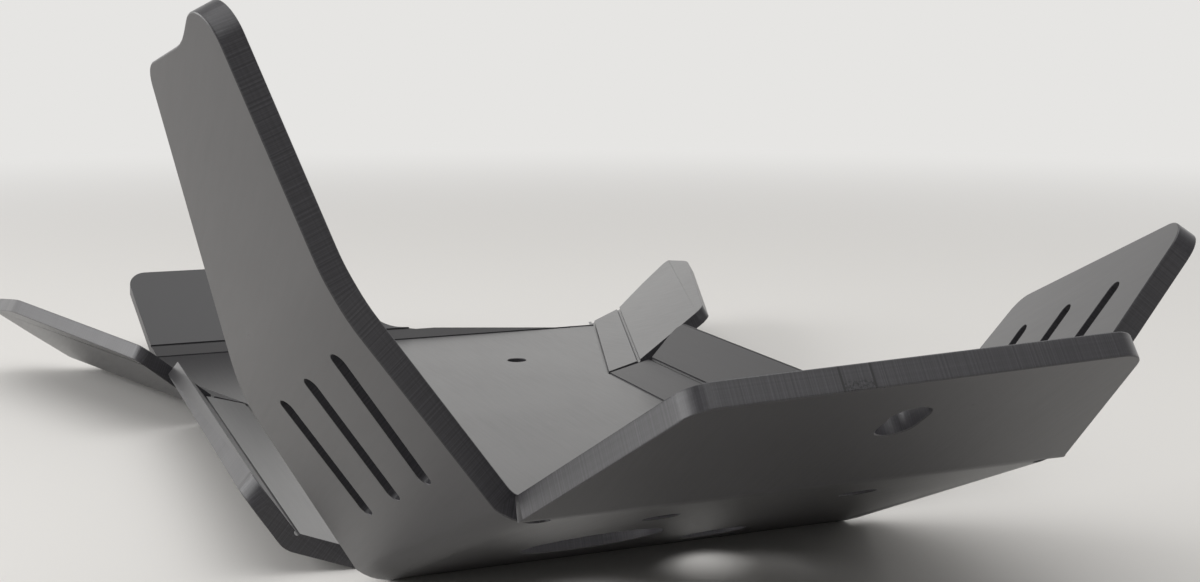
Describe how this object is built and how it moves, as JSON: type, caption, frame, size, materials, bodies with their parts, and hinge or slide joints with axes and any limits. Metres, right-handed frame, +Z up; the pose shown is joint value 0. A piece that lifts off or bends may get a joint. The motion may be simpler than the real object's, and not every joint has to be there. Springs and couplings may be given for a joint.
{
  "type": "motorcycle skid plate",
  "caption": "Folded plastic skid plate: flat floor with scored side flanges and flared rear flaps, upswept belly and ramp, slotted side wings and a rear tab.",
  "frame": {"origin": "middle of the floor panel, on its underside and on the centre line", "axes": "+X to the rider's left, +Y to the rear of the motorcycle, +Z up"},
  "size_m": [0.356, 0.5508, 0.1657],
  "materials": {
    "black_hdpe": "satin, routed edges"
  },
  "bodies": {
    "root": {"skid_plate": "black_hdpe"}
  },
  "joints": []
}
